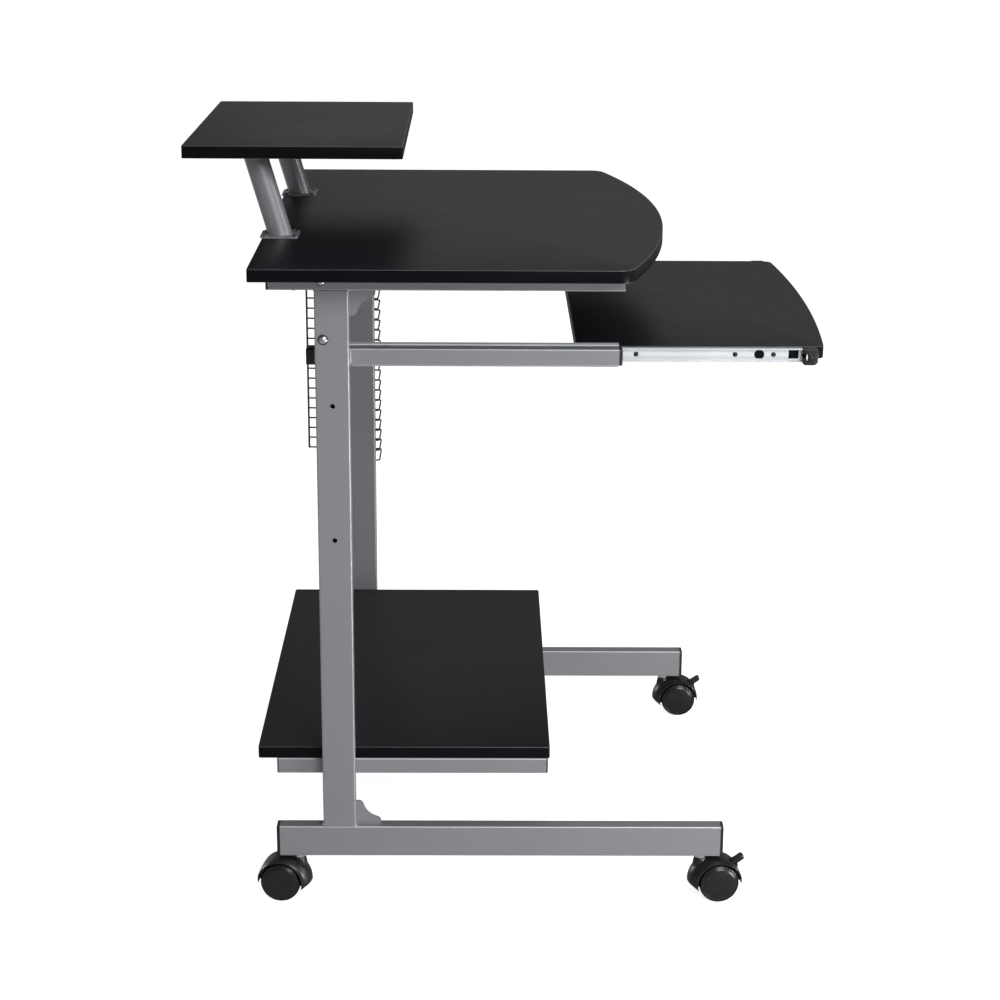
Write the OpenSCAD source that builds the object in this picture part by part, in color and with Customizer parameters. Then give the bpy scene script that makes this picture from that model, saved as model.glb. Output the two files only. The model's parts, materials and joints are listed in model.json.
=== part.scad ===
// Compact computer desk on casters: two welded tube side frames carry a bowed desktop,
// a raised monitor shelf, a lower shelf and a keyboard tray on ball-bearing slides.
// +X is the sitter's right, the sitter is on the -Y side, +Z is up, the floor is Z = 0.

/* [Boards] */
// Thickness of every board
board_t = 15; // [12:1:18]
// Width of the desktop
desk_w = 738; // [720:2:800]
// Rear edge of the desktop, behind the frame's middle plane
desk_rear_y = 218; // [205:1:240]
// Front edge of the desktop, at the middle of its bow
desk_front_y = -276.5; // [-280:0.5:-270]
// Height of the desktop's top face
desk_top_z = 812.5; // [805:0.5:840]
// Radius of the desktop's bowed front
desk_bow_r = 1180; // [1100:10:2000]
// Radius of the desktop's front corners
desk_corner_r = 20; // [10:1:30]
// Width of the monitor shelf
monitor_w = 424; // [400:2:500]
// Depth of the monitor shelf
monitor_d = 261; // [230:1:300]
// Front edge of the monitor shelf
monitor_front_y = 46; // [20:1:60]
// Height of the monitor shelf's top face
monitor_top_z = 928.5; // [900:0.5:960]
// Width of the lower shelf
lower_w = 588; // [560:2:588]
// Depth of the lower shelf
lower_d = 361; // [340:1:380]
// Front edge of the lower shelf
lower_front_y = -134; // [-145:1:-125]
// Height of the lower shelf's top face
lower_top_z = 199; // [190:1:240]

/* [Keyboard tray] */
// Width of the tray board
tray_w = 528; // [528:2:530]
// Straight rear edge of the tray, pulled out
tray_rear_y = -160; // [-170:1:-150]
// Bowed front edge of the tray, pulled out
tray_front_y = -466; // [-480:1:-460]
// Height of the tray's top face
tray_top_z = 701.5; // [700:0.5:703]
// Radius of the tray's bowed front
tray_bow_r = 2930; // [2000:10:4000]
// Radius of the tray's front corners
tray_corner_r = 12; // [6:1:20]

/* [Side frames] */
// Width between the outer faces of the two side frames
frame_w = 630; // [630:2:640]
// Width of every tube, left to right
tube_w = 20; // [20:1:20]
// Height of a foot tube and depth of a column tube
tube_d = 40; // [36:1:44]
// Wall of the tubes
tube_wall = 1.5; // [1.2:0.1:1.8]
// Outside radius of the tubes' long corners
tube_r = 2; // [1.6:0.1:2.5]
// Front end of the foot tubes
foot_front_y = -347; // [-360:1:-340]
// Rear end of the foot tubes
foot_rear_y = 201; // [195:1:215]
// Underside of the foot tubes
foot_z = 61; // [61:1:61]
// Middle of the columns, front to back
column_y = 126.5; // [120:0.5:130]
// Front end of the top rails
top_rail_front_y = -214; // [-220:1:-200]
// Rear end of the top rails
top_rail_rear_y = 199; // [190:1:205]
// Front end of the lower shelf's rails
low_rail_front_y = -129.8; // [-135:0.1:-120]
// Rear end of the lower shelf's rails
low_rail_rear_y = 202.2; // [190:0.1:205]
// Reach of the corner gussets along each tube
gusset_reach = 31; // [28:1:34]

/* [Slides] */
// Length of a slide member
slide_l = 345; // [340:1:350]
// Front end of the fixed channels
channel_front_y = -210; // [-212:1:-208]
// Middle height of the slides
slide_z = 692; // [691:0.5:692.5]
// Height of the fixed channels
channel_h = 27; // [27:1:27]
// Front end of the moving members, pulled out
member_front_y = -428; // [-430:1:-426]
// Length of the ball cages
cage_l = 80; // [70:1:82]

/* [Monitor posts] */
// Distance between the two posts
post_span = 310; // [280:2:340]
// Outside diameter of the posts
post_d = 29; // [25:1:32]
// Foot of the posts' axis on the desktop
post_y = 197.5; // [190:0.5:205]
// Lean of the posts towards the rear, in degrees
post_lean = 16.2; // [0:0.1:18]

/* [Disc rack] */
// Number of wire loops
rack_levels = 23; // [12:1:23]
// Height of the lowest loop
rack_z = 391.8; // [380:0.1:400]
// Step from one loop to the next
rack_pitch = 15.13; // [14:0.01:15.2]
// Distance between the two long wires of a loop
rack_w = 62.3; // [50:0.1:70]
// Front end of the loops
rack_front_y = 101.6; // [98:0.1:103]
// Rear upright of the loops
rack_rear_y = 209.3; // [190:0.1:215]

/* [Casters] */
// Diameter of a caster wheel
wheel_d = 50; // [50:1:50]
// Distance from the stem's axis to the wheels' axle
trail = 22.4; // [22:0.1:23]
// Swivel axis of the rear casters
rear_caster_y = 177.5; // [170:0.5:180]
// Swivel axis of the front casters
front_caster_y = -323.5; // [-330:0.5:-320]

/* [Hidden] */
$fn = 64;
silver = [0.58, 0.59, 0.61];
zinc = [0.80, 0.82, 0.84];
laminate = [0.12, 0.12, 0.13];
black_plastic = [0.05, 0.05, 0.055];
wire_grey = [0.22, 0.22, 0.23];
bright_steel = [0.72, 0.72, 0.72];

// The row's origin is on the floor in the middle of the object's box
wire_r = 1.2;
rod_r = 1.5;
strip_t = 2;
strip_w = 12;
outer_x = frame_w / 2;
inner_x = outer_x - tube_w;
rack_near_x = outer_x + strip_t + wire_r;
rack_far_x = rack_near_x + rack_w;
origin_x = (rack_far_x + rod_r - desk_w / 2) / 2;
origin_y = (tray_front_y + monitor_front_y + monitor_d) / 2;

// Heights that follow from the boards
desk_under_z = desk_top_z - board_t;
top_rail_z = desk_under_z - tube_w / 2;
column_top_z = desk_under_z - tube_w;
foot_top_z = foot_z + tube_d;
low_rail_z = lower_top_z - board_t - tube_w / 2;
tray_under_z = tray_top_z - board_t;
frame_mid_x = outer_x - tube_w / 2;
inboard_x = inner_x - tube_w / 2;
channel_x = inner_x - tube_w;
slide_depth = channel_x - tray_w / 2;

// Crossbar between the columns, and its bolts
crossbar_y = column_y + (tube_d - tube_w) / 2;
crossbar_z = 719.3;
crossbar_end_t = 3;
bolt_r = 3;
bolt_head_r = 5.8;
bolt_gap = 0.05;
bolt_y = crossbar_y;
rail_bolt_y = 138;
accessory_hole_r = 3;
accessory_hole_z = [474.3, 639.5];

// Slide tube, on the same side of the column as the lower rail
slide_tube_front_y = -209.5;
slide_tube_rear_y = column_y + tube_d / 2;
slide_tube_z = 694.3;

// Slide section
sheet_t = 1.2;
member_h = 16.6;
race_reach = 10;
lip_t = 1;
lip_h = 2.4;
member_reach = 7.5;
ball_r = 1.95;
cage_t = 0.8;
cage_plate_u = 2.2;
cage_mouth_u = 8.6;
ball_u = 6;
ball_count = 5;
guide_front = 4.5;
tray_screw_d = [33.8, 79.4, 197];
tray_screw_head_h = 1;
tray_screw_bite = 14;
stop_l = 18;

// Screws
board_screw_r = 2;
board_screw_head_r = 4;
board_screw_bite = 11;
plate_screw_bite = 10;
desk_screw_y = [-183, 170];
lower_screw_y = [-100, column_y];
plate_w = 46;
plate_t = 2;
plate_screw_reach = 17.5;

// Caster body
wheel_r = wheel_d / 2;
hood_r = 30;
crown_r = 33;
crown_shift = 5;
crown_half = 11;
hood_inner_r = 27.3;
hood_half = 18.5;
web_half = 7;
boss_r = 9;
boss_top_z = 57.5;
boss_low_z = 22;
hood_low_z = 16;
stem_r = 5;
stem_hole_z = 30;
stem_flange_r = 8;
stem_gap = 0.3;
axle_r = 3;
axle_half = 17;
wheel_in = 7.6;
wheel_out = 20;
wheel_play = 0.05;
lever_half = 5;
lever_t = 7;
lever_lift = 3.3;
lever_l = 12.4;
lever_angle = 32;
lever_pivot_out = 21;
lever_pivot_up = 19.5;
lever_hub_r = 4.5;
lever_pin_r = 1.15;
lever_pin_half = 18.4;
rear_left_yaw = -8;
rear_right_yaw = 5;
front_left_yaw = 186;
front_right_yaw = 181;

// ---- Placing ----

// Moves the frame's own axes to the row's origin
module placed() {
    translate([-origin_x, -origin_y, 0]) children();
}

// Children are drawn for the left side; "right" mirrors them
module on_side(side) {
    if (side == "left") children();
    else mirror([1, 0, 0]) children();
}

module both_sides() {
    on_side("left") children();
    on_side("right") children();
}

// ---- Sections ----

module rounded_rect(w, h, r) {
    square([w - 2 * r, h], center = true);
    square([w, h - 2 * r], center = true);
    for (sx = [-1, 1], sy = [-1, 1])
        translate([sx * (w / 2 - r), sy * (h / 2 - r)]) circle(r = r);
}

module tube_section(w, h) {
    difference() {
        rounded_rect(w, h, tube_r);
        square([w - 2 * tube_wall, h - 2 * tube_wall], center = true);
    }
}

// Extrudes a section along +Y from y0 to y1, its x along X and its y along Z
module along_y(y0, y1) {
    translate([0, y1, 0]) rotate([90, 0, 0]) linear_extrude(height = y1 - y0) children();
}

// Extrudes a section along X from -half to half, its x along Y and its y along Z
module along_x(half) {
    translate([-half, 0, 0]) rotate([90, 0, 90]) linear_extrude(height = 2 * half) children();
}

// Points of an arc about c, from angle a0 to a1 in n steps, its first point left out
function arc(c, r, a0, a1, n) = [
    for (i = [1 : n]) let (a = a0 + (a1 - a0) * i / n) c + r * [cos(a), sin(a)]
];

// Board outline with a straight rear edge and a bowed front with round corners
module bowed_outline(w, rear_y, front_y, bow_r, corner_r) {
    bow_y = front_y + bow_r;
    fillet_x = w / 2 - corner_r;
    fillet_y = bow_y - sqrt(pow(bow_r - corner_r, 2) - pow(fillet_x, 2));
    turn = atan2(fillet_y - bow_y, -fillet_x);
    polygon(concat(
        [[w / 2, rear_y], [-w / 2, rear_y], [-w / 2, fillet_y]],
        arc([-fillet_x, fillet_y], corner_r, -180, turn, 10),
        arc([0, bow_y], bow_r, turn, -180 - turn, 48),
        arc([fillet_x, fillet_y], corner_r, -180 - turn, 0, 10)
    ));
}

module plain_board(w, front_y, d, top_z, r = 3) {
    translate([0, front_y + d / 2, top_z - board_t])
        linear_extrude(height = board_t) rounded_rect(w, d, r);
}

// Screw along +Z with its head's seat at Z = 0, the shank above and a domed head below
module screw(head_r, head_h, shank_r, shank_l) {
    cylinder(r = shank_r, h = shank_l, $fn = 24);
    dome_r = (pow(head_r, 2) + pow(head_h, 2)) / (2 * head_h);
    slot_w = head_r * 0.28;
    slot_l = head_r * 1.1;
    slot_h = head_h * 0.5;
    difference() {
        intersection() {
            translate([0, 0, dome_r - head_h]) sphere(r = dome_r, $fn = 48);
            translate([0, 0, -head_h]) cylinder(r = head_r, h = head_h, $fn = 32);
        }
        for (turn = [0, 90]) rotate([0, 0, turn])
            translate([-slot_l / 2, -slot_w / 2, -head_h]) cube([slot_l, slot_w, slot_h]);
    }
}

// ---- Boards ----

// Pilot hole for a screw, from its mouth at the origin up to depth l
module pilot(l) {
    translate([0, 0, -1]) cylinder(r = board_screw_r, h = l + 1, $fn = 24);
}

// Pilot holes for rail screws at x and -x, from the board's underside
module rail_pilots(positions, x, under_z) {
    for (s = [-1, 1], y = positions) translate([s * x, y, under_z]) pilot(board_screw_bite);
}

module desktop() {
    color(laminate) placed() difference() {
        translate([0, 0, desk_under_z]) linear_extrude(height = board_t)
            bowed_outline(desk_w, desk_rear_y, desk_front_y, desk_bow_r, desk_corner_r);
        rail_pilots(desk_screw_y, frame_mid_x, desk_under_z);
        both_sides() translate([-post_span / 2, post_y, desk_top_z]) plate_corners()
            mirror([0, 0, 1]) pilot(plate_screw_bite);
    }
}

module monitor_shelf() {
    color(laminate) placed() difference() {
        plain_board(monitor_w, monitor_front_y, monitor_d, monitor_top_z);
        both_sides() translate([-post_span / 2, post_top_y, monitor_top_z - board_t])
            plate_corners() pilot(plate_screw_bite);
    }
}

module lower_shelf() {
    color(laminate) placed() difference() {
        plain_board(lower_w, lower_front_y, lower_d, lower_top_z);
        rail_pilots(lower_screw_y, inboard_x, lower_top_z - board_t);
    }
}

module keyboard_tray() {
    color(laminate) placed() difference() {
        translate([0, 0, tray_under_z]) linear_extrude(height = board_t)
            bowed_outline(tray_w, tray_rear_y, tray_front_y, tray_bow_r, tray_corner_r);
        both_sides() for (d = concat(tray_screw_d, -stop_l / 2))
            translate([-tray_w / 2, member_front_y + d, slide_z])
                rotate([0, 90, 0]) pilot(tray_screw_bite);
    }
}

// ---- Side frames ----

module foot(side) {
    stem_hole_r = stem_r + bolt_gap;
    color(silver) placed() on_side(side) difference() {
        translate([-frame_mid_x, 0, foot_z + tube_d / 2])
            along_y(foot_front_y, foot_rear_y) tube_section(tube_w, tube_d);
        for (y = [front_caster_y, rear_caster_y])
            translate([-frame_mid_x, y, foot_z - 1]) cylinder(r = stem_hole_r, h = tube_d / 2);
    }
}

module left_foot() foot("left");
module right_foot() foot("right");

module column(side) {
    color(silver) placed() on_side(side) difference() {
        translate([-frame_mid_x, column_y, foot_top_z])
            linear_extrude(height = column_top_z - foot_top_z) tube_section(tube_w, tube_d);
        for (z = accessory_hole_z)
            translate([-outer_x - 1, column_y, z])
                rotate([0, 90, 0]) cylinder(r = accessory_hole_r, h = tube_w / 2);
        translate([-outer_x - 1, bolt_y, crossbar_z])
            rotate([0, 90, 0]) cylinder(r = bolt_r + bolt_gap, h = tube_w + 2);
    }
}

module left_column() column("left");
module right_column() column("right");

// Vertical clearance holes through a rail for its board screws
module rail_holes(positions, x, mid_z) {
    for (y = positions)
        translate([x, y, mid_z - tube_w]) cylinder(r = board_screw_r + bolt_gap, h = 2 * tube_w);
}

module top_rail(side) {
    color(silver) placed() on_side(side) difference() {
        translate([-frame_mid_x, 0, top_rail_z])
            along_y(top_rail_front_y, top_rail_rear_y) tube_section(tube_w, tube_w);
        rail_holes(desk_screw_y, -frame_mid_x, top_rail_z);
        translate([-outer_x - 1, rail_bolt_y, top_rail_z])
            rotate([0, 90, 0]) cylinder(r = bolt_r + bolt_gap, h = tube_w / 2);
    }
}

module left_top_rail() top_rail("left");
module right_top_rail() top_rail("right");

module shelf_rail(side) {
    color(silver) placed() on_side(side) difference() {
        translate([-inboard_x, 0, low_rail_z])
            along_y(low_rail_front_y, low_rail_rear_y) tube_section(tube_w, tube_w);
        rail_holes(lower_screw_y, -inboard_x, low_rail_z);
    }
}

module left_shelf_rail() shelf_rail("left");
module right_shelf_rail() shelf_rail("right");

module slide_tube(side) {
    color(silver) placed() on_side(side)
        translate([-inboard_x, 0, slide_tube_z])
            along_y(slide_tube_front_y, slide_tube_rear_y) tube_section(tube_w, tube_w);
}

module left_slide_tube() slide_tube("left");
module right_slide_tube() slide_tube("right");

// Gusset in its own corner: x runs forward along one tube, y runs away along the other
module gusset_outline() {
    end_r = 4.5;
    bite_r = gusset_reach - 8;
    difference() {
        square(gusset_reach - end_r);
        translate([gusset_reach + 1, gusset_reach + 1]) circle(r = bite_r);
    }
    for (flip = [0, 1]) mirror([flip, -flip, 0]) {
        translate([gusset_reach - end_r, end_r]) circle(r = end_r);
        square([gusset_reach - end_r, 2 * end_r]);
        square([gusset_reach, end_r]);
    }
}

module gusset_pair(corner_z, up) {
    gusset_t = 3;
    color(silver) placed() both_sides()
        translate([-frame_mid_x - gusset_t / 2, column_y - tube_d / 2, corner_z])
            mirror([0, 0, up ? 0 : 1]) mirror([0, 1, 0])
                rotate([90, 0, 90]) linear_extrude(height = gusset_t) gusset_outline();
}

module upper_gussets() gusset_pair(column_top_z, false);
module lower_gussets() gusset_pair(foot_top_z, true);

module rear_crossbar() {
    color(silver) placed() translate([0, crossbar_y, crossbar_z]) difference() {
        union() {
            along_x(inner_x) tube_section(tube_w, tube_w);
            for (s = [-1, 1])
                translate([s * (inner_x - crossbar_end_t / 2), 0, 0])
                    cube([crossbar_end_t, tube_w - 2, tube_w - 2], center = true);
        }
        for (s = [-1, 1]) translate([s * inner_x, 0, 0])
            rotate([0, 90, 0]) cylinder(r = bolt_r + bolt_gap, h = 4 * crossbar_end_t, center = true);
    }
}

module frame_bolts() {
    crossbar_bolt_l = tube_w + 12;
    color(wire_grey) placed() both_sides() {
        translate([-outer_x, bolt_y, crossbar_z])
            rotate([0, 90, 0]) screw(bolt_head_r, 3, bolt_r, crossbar_bolt_l);
        translate([-outer_x, rail_bolt_y, top_rail_z])
            rotate([0, 90, 0]) screw(4.5, 2.4, bolt_r, tube_w / 2);
    }
}

// End plug: a head of the tube's size outside, and a stem that fills the tube's mouth
module end_plug(w, h, head_t) {
    insert_l = 10;
    insert_gap = 0.1;
    edge = 0.4;
    rotate([90, 0, 0]) {
        linear_extrude(height = head_t) rounded_rect(w - edge, h - edge, tube_r);
        translate([0, 0, -insert_l]) linear_extrude(height = insert_l)
            square([w - 2 * tube_wall - insert_gap, h - 2 * tube_wall - insert_gap], center = true);
    }
}

// Places a plug on the front or the rear end of a tube that runs along Y
module plug_at(x, y, z, rear) {
    translate([x, y, z]) mirror([0, rear ? 1 : 0, 0]) children();
}

module foot_end_caps() {
    head_t = 4;
    color(black_plastic) placed() both_sides() {
        plug_at(-frame_mid_x, foot_front_y, foot_z + tube_d / 2, false)
            end_plug(tube_w, tube_d, head_t);
        plug_at(-frame_mid_x, foot_rear_y, foot_z + tube_d / 2, true)
            end_plug(tube_w, tube_d, head_t);
    }
}

module rail_end_plugs() {
    flush_t = 0.8;
    rear_t = 3;
    low_t = 2;
    color(black_plastic) placed() both_sides() {
        plug_at(-frame_mid_x, top_rail_front_y, top_rail_z, false) end_plug(tube_w, tube_w, flush_t);
        plug_at(-frame_mid_x, top_rail_rear_y, top_rail_z, true) end_plug(tube_w, tube_w, rear_t);
        plug_at(-inboard_x, low_rail_front_y, low_rail_z, false) end_plug(tube_w, tube_w, low_t);
        plug_at(-inboard_x, low_rail_rear_y, low_rail_z, true) end_plug(tube_w, tube_w, low_t);
    }
}

module slide_tube_plugs() {
    front_t = 4;
    rear_t = 12;
    color(black_plastic) placed() both_sides() {
        plug_at(-inboard_x, slide_tube_front_y, slide_tube_z, false)
            end_plug(tube_w, tube_w, front_t);
        plug_at(-inboard_x, slide_tube_rear_y, slide_tube_z, true)
            end_plug(tube_w, tube_w, rear_t);
    }
}

// ---- Monitor posts ----

post_low_z = desk_top_z + plate_t;
post_high_z = monitor_top_z - board_t - plate_t;
post_rise = post_high_z - post_low_z;
post_top_y = post_y + post_rise * tan(post_lean);

module post(side) {
    post_wall = 1.5;
    spare = 20;
    color(silver) placed() on_side(side) intersection() {
        translate([-post_span / 2, post_y, post_low_z]) rotate([-post_lean, 0, 0])
            translate([0, 0, -spare]) difference() {
                cylinder(r = post_d / 2, h = post_rise + 3 * spare);
                translate([0, 0, -1]) cylinder(r = post_d / 2 - post_wall, h = post_rise + 4 * spare);
            }
        translate([-post_span / 2 - post_d, post_y - post_d, post_low_z])
            cube([2 * post_d, 4 * post_d, post_rise]);
    }
}

module left_post() post("left");
module right_post() post("right");

// Places children at the four screws of a plate centred on the origin
module plate_corners() {
    for (sx = [-1, 1], sy = [-1, 1])
        translate([sx * plate_screw_reach, sy * plate_screw_reach, 0]) children();
}

module plate() {
    difference() {
        linear_extrude(height = plate_t) rounded_rect(plate_w, plate_w, 4);
        plate_corners() translate([0, 0, -1]) cylinder(r = board_screw_r + bolt_gap, h = plate_t + 2);
    }
}

module post_base_plates() {
    color(silver) placed() both_sides()
        translate([-post_span / 2, post_y, desk_top_z]) plate();
}

module post_top_plates() {
    color(silver) placed() both_sides()
        translate([-post_span / 2, post_top_y, post_high_z]) plate();
}

module post_screws() {
    color(bright_steel) placed() both_sides() {
        translate([-post_span / 2, post_y, post_low_z]) plate_corners()
            mirror([0, 0, 1]) screw(3.6, 2, board_screw_r, plate_t + plate_screw_bite);
        translate([-post_span / 2, post_top_y, post_high_z]) plate_corners()
            screw(3.6, 2, board_screw_r, plate_t + plate_screw_bite);
    }
}

module board_screws() {
    color(wire_grey) placed() both_sides() {
        for (y = desk_screw_y)
            translate([-frame_mid_x, y, column_top_z])
                screw(board_screw_head_r, 2.4, board_screw_r, tube_w + board_screw_bite);
        for (y = lower_screw_y)
            translate([-inboard_x, y, low_rail_z - tube_w / 2])
                screw(board_screw_head_r, 2.4, board_screw_r, tube_w + board_screw_bite);
    }
}

// ---- Slides: u runs inboard from the slide tube's face, v runs up from the slide's middle ----

// Draws a u-v section from y0 to y1 on the left slide
module slide_section(y0, y1) {
    translate([-channel_x, 0, slide_z]) along_y(y0, y1) children();
}

module channel_section() {
    half = channel_h / 2;
    translate([0, -half]) square([sheet_t, channel_h]);
    for (flip = [0, 1]) mirror([0, flip]) {
        translate([0, half - sheet_t]) square([race_reach, sheet_t]);
        translate([race_reach - lip_t, half - sheet_t - lip_h]) square([lip_t, lip_h + sheet_t / 2]);
    }
}

module slide_channel(side) {
    color(zinc) placed() on_side(side)
        slide_section(channel_front_y, channel_front_y + slide_l) channel_section();
}

module left_slide_channel() slide_channel("left");
module right_slide_channel() slide_channel("right");

module member_section() {
    translate([slide_depth - sheet_t, -member_h / 2]) square([sheet_t, member_h]);
    for (flip = [0, 1]) mirror([0, flip])
        translate([slide_depth - member_reach, member_h / 2 - sheet_t]) square([member_reach, sheet_t]);
}

module slide_member(side) {
    window = 12;
    window_behind_front = 10;
    access_r = 6;
    access_behind_front = 50.7;
    color(zinc) placed() on_side(side) difference() {
        slide_section(member_front_y, member_front_y + slide_l) member_section();
        for (d = tray_screw_d)
            translate([-tray_w / 2 - 2 * sheet_t, member_front_y + d, slide_z])
                rotate([0, 90, 0]) cylinder(r = board_screw_r + bolt_gap, h = 4 * sheet_t);
        translate([-tray_w / 2 - 2 * sheet_t, member_front_y + access_behind_front, slide_z])
            rotate([0, 90, 0]) cylinder(r = access_r, h = 4 * sheet_t);
        translate([-tray_w / 2, member_front_y + window_behind_front, slide_z])
            cube([4 * sheet_t, window, window], center = true);
    }
}

module left_slide_member() slide_member("left");
module right_slide_member() slide_member("right");

cage_front_y = channel_front_y + 6;
race_v = channel_h / 2 - sheet_t;
ball_v = (race_v + member_h / 2) / 2;

// Bent strip with a finger along each race; each finger holds a row of balls
module ball_cage(side) {
    ball_step = (cage_l - 4 * ball_r) / (ball_count - 1);
    color(bright_steel) placed() on_side(side) {
        difference() {
            slide_section(cage_front_y, cage_front_y + cage_l) {
                translate([cage_plate_u - cage_t / 2, -ball_v]) square([cage_t, 2 * ball_v]);
                for (s = [-1, 1])
                    translate([cage_plate_u - cage_t / 2, s * ball_v - cage_t / 2])
                        square([cage_mouth_u - cage_plate_u + cage_t / 2, cage_t]);
            }
            for (s = [-1, 1], i = [0 : ball_count - 1])
                translate([
                    -channel_x + ball_u, cage_front_y + 2 * ball_r + i * ball_step,
                    slide_z + s * ball_v
                ]) cylinder(r = ball_r + bolt_gap, h = 4 * cage_t, center = true, $fn = 32);
        }
        for (s = [-1, 1], i = [0 : ball_count - 1])
            translate([
                -channel_x + ball_u, cage_front_y + 2 * ball_r + i * ball_step,
                slide_z + s * ball_v
            ]) sphere(r = ball_r, $fn = 24);
    }
}

module left_ball_cage() ball_cage("left");
module right_ball_cage() ball_cage("right");

// Plastic stops inside the mouths of the fixed channels
module slide_guides() {
    guide_h = member_h - 2 * sheet_t - 1;
    guide_back = 1.5;
    color(black_plastic) placed() both_sides()
        slide_section(channel_front_y - guide_front, channel_front_y + guide_back)
            translate([sheet_t, -guide_h / 2])
                square([slide_depth - 2 * sheet_t - tray_screw_head_h - 0.5, guide_h]);
}

// Plastic stops ahead of the moving members, on the tray's side edges
module tray_end_stops() {
    stop_h = 19.5;
    stop_low_z = 681;
    stop_w = slide_depth - 0.6;
    color(black_plastic) placed() both_sides() difference() {
        translate([-tray_w / 2 - stop_w, member_front_y - 0.2, stop_low_z])
            rotate([90, 0, 0]) linear_extrude(height = stop_l)
                translate([stop_w / 2, stop_h / 2]) rounded_rect(stop_w, stop_h, 2.5);
        translate([-tray_w / 2 - 2 * stop_w, member_front_y - stop_l / 2, slide_z])
            rotate([0, 90, 0]) cylinder(r = board_screw_r + bolt_gap, h = 3 * stop_w);
    }
}

module tray_screws() {
    head_r = 3;
    stop_w = slide_depth - 0.6;
    color(wire_grey) placed() both_sides() {
        for (d = tray_screw_d)
            translate([-tray_w / 2 - sheet_t, member_front_y + d, slide_z]) rotate([0, 90, 0])
                screw(head_r, tray_screw_head_h, board_screw_r, sheet_t + tray_screw_bite);
        translate([-tray_w / 2 - stop_w, member_front_y - stop_l / 2, slide_z]) rotate([0, 90, 0])
            screw(head_r, tray_screw_head_h, board_screw_r, stop_w + tray_screw_bite);
    }
}

// ---- Disc rack on the right column ----

rack_tilt = 1.4;
rack_bend_r = 5;

// Quarter bend of wire from +Y towards +X, its centre at the origin
module wire_bend() {
    rotate_extrude(angle = 90) translate([rack_bend_r, 0]) circle(r = wire_r, $fn = 16);
}

// Places children at the middle of each loop's front, in the loop's own slightly tilted plane
module rack_levels_of() {
    color(wire_grey) placed()
        for (i = [0 : rack_levels - 1])
            translate([0, rack_front_y, rack_z + i * rack_pitch]) rotate([rack_tilt, 0, 0]) children();
}

// Straight wire of a loop, from behind its bend towards the rear
module rack_side_wire(x, l) {
    translate([x, rack_bend_r, 0]) rotate([-90, 0, 0]) cylinder(r = wire_r, h = l, $fn = 16);
}

// Front run of each loop with its two bends
module rack_front_bends() {
    rack_levels_of() {
        translate([rack_near_x + rack_bend_r, 0, 0]) rotate([0, 90, 0])
            cylinder(r = wire_r, h = rack_w - 2 * rack_bend_r, $fn = 16);
        translate([rack_far_x - rack_bend_r, rack_bend_r, 0]) rotate([0, 0, -90]) wire_bend();
        translate([rack_near_x + rack_bend_r, rack_bend_r, 0]) rotate([0, 0, 180]) wire_bend();
    }
}

// Long run of each loop, back to the rear upright
module rack_outer_wires() {
    long_l = rack_rear_y - rod_r - rack_front_y - rack_bend_r;
    rack_levels_of() rack_side_wire(rack_far_x, long_l);
}

// Short run of each loop, along the strip
module rack_inner_wires() {
    short_l = column_y + strip_w / 2 - rack_front_y - rack_bend_r;
    rack_levels_of() rack_side_wire(rack_near_x, short_l);
}

module rack_uprights() {
    rack_h = (rack_levels - 1) * rack_pitch;
    rear_rise = (rack_rear_y - rack_front_y) * tan(rack_tilt);
    strip_over = 6;
    head_gap = 0.4;
    color(wire_grey) placed() {
        translate([rack_far_x, rack_rear_y, rack_z + rear_rise - wire_r])
            cylinder(r = rod_r, h = rack_h + 2 * wire_r, $fn = 24);
        difference() {
            translate([outer_x, column_y - strip_w / 2, rack_z - strip_over])
                cube([strip_t, strip_w, rack_h + 2 * strip_over]);
            for (z = accessory_hole_z) translate([outer_x - 1, column_y, z])
                rotate([0, 90, 0]) cylinder(r = accessory_hole_r, h = strip_t + 2);
            translate([outer_x - 1, bolt_y, crossbar_z])
                rotate([0, 90, 0]) cylinder(r = bolt_head_r + head_gap, h = strip_t + 2);
        }
    }
}

module rack_screws() {
    color(wire_grey) placed()
        for (z = accessory_hole_z)
            translate([outer_x + strip_t, column_y, z])
                rotate([0, -90, 0]) screw(4.2, 1, accessory_hole_r - bolt_gap, strip_t + 8);
}

// ---- Casters: own axes, stem on Z, wheels' axle along X behind it at +Y ----

module caster_at(side, y, yaw) {
    translate([side == "left" ? -frame_mid_x : frame_mid_x, y, 0]) rotate([0, 0, yaw]) children();
}

module x_cylinder(r, x0, x1) {
    translate([x0, 0, 0]) rotate([0, 90, 0]) cylinder(r = r, h = x1 - x0);
}

module at_axle() {
    translate([0, trail, wheel_r]) children();
}

module at_lever() {
    translate([0, trail + lever_pivot_out, wheel_r + lever_pivot_up]) children();
}

module hood_solid() {
    at_axle() {
        x_cylinder(hood_r, -hood_half, hood_half);
        translate([0, -crown_shift, 0]) x_cylinder(crown_r, -crown_half, crown_half);
    }
    translate([0, 0, boss_low_z]) cylinder(r = boss_r, h = boss_top_z - boss_low_z);
}

// Everything that is cut from a hood: wheel pockets, open underside, stem and axle bores
module hood_cuts() {
    far = 60;
    at_axle() {
        x_cylinder(hood_inner_r, -far, -web_half);
        x_cylinder(hood_inner_r, web_half, far);
        x_cylinder(axle_r, -web_half - 1, web_half + 1);
    }
    translate([-far / 2, -far, -far + hood_low_z]) cube([far, 2 * far, far]);
    for (s = [-1, 1]) translate([s > 0 ? web_half : -far, trail, 0]) cube([far - web_half, far, wheel_r]);
    translate([0, 0, stem_hole_z]) cylinder(r = stem_r + bolt_gap, h = far);
}

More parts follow.
